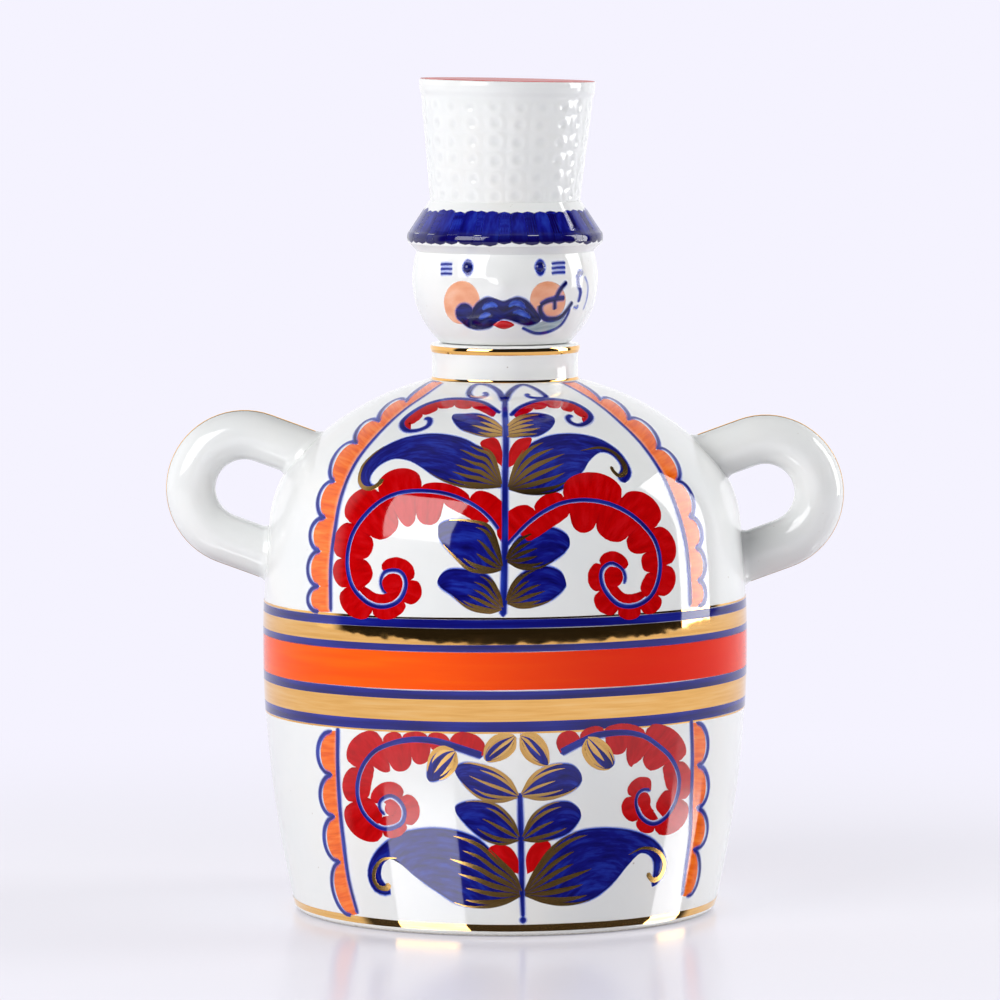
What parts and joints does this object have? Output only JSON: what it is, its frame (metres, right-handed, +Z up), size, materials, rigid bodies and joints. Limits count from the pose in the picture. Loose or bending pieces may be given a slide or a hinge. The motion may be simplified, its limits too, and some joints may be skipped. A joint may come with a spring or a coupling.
{
  "type": "figural liquor decanter",
  "caption": "Hollow porcelain decanter in the form of a stout figure with looped arms as handles; the head in a tall hat is a cork-sealed stopper that lifts out and turns.",
  "frame": {"origin": "on the table, in the middle of the foot ring", "axes": "+Z up along the figure's axis; the figure faces -Y and its own left arm is at +X"},
  "size_m": [0.1794, 0.1284, 0.22],
  "materials": {
    "porcelain": "white porcelain under a clear gloss glaze",
    "red_enamel": "glossy red overglaze enamel",
    "cork": "natural ground cork",
    "cobalt_paint": "cobalt brushwork under the glaze",
    "orange_enamel": "glossy orange overglaze enamel",
    "gold_lustre": "burnished gold lustre"
  },
  "bodies": {
    "decanter": {"body_shell": "porcelain", "neck_collar": "porcelain", "left_arm": "porcelain", "right_arm": "porcelain"},
    "seal": {"cork_sleeve": "cork"},
    "stopper": {"stopper_plug": "porcelain", "head_shell": "porcelain", "hat_shell": "porcelain", "hat_crown": "red_enamel"}
  },
  "joints": [
    {"name": "stopper_lift", "type": "slide", "parent": "decanter", "child": "seal", "axis": [0, 0, 1], "range_m": [0, 0.06]},
    {"name": "stopper_turn", "type": "hinge", "parent": "seal", "child": "stopper", "pos_m": [0, 0, 0.15], "axis": [0, 0, 1], "continuous": true}
  ]
}
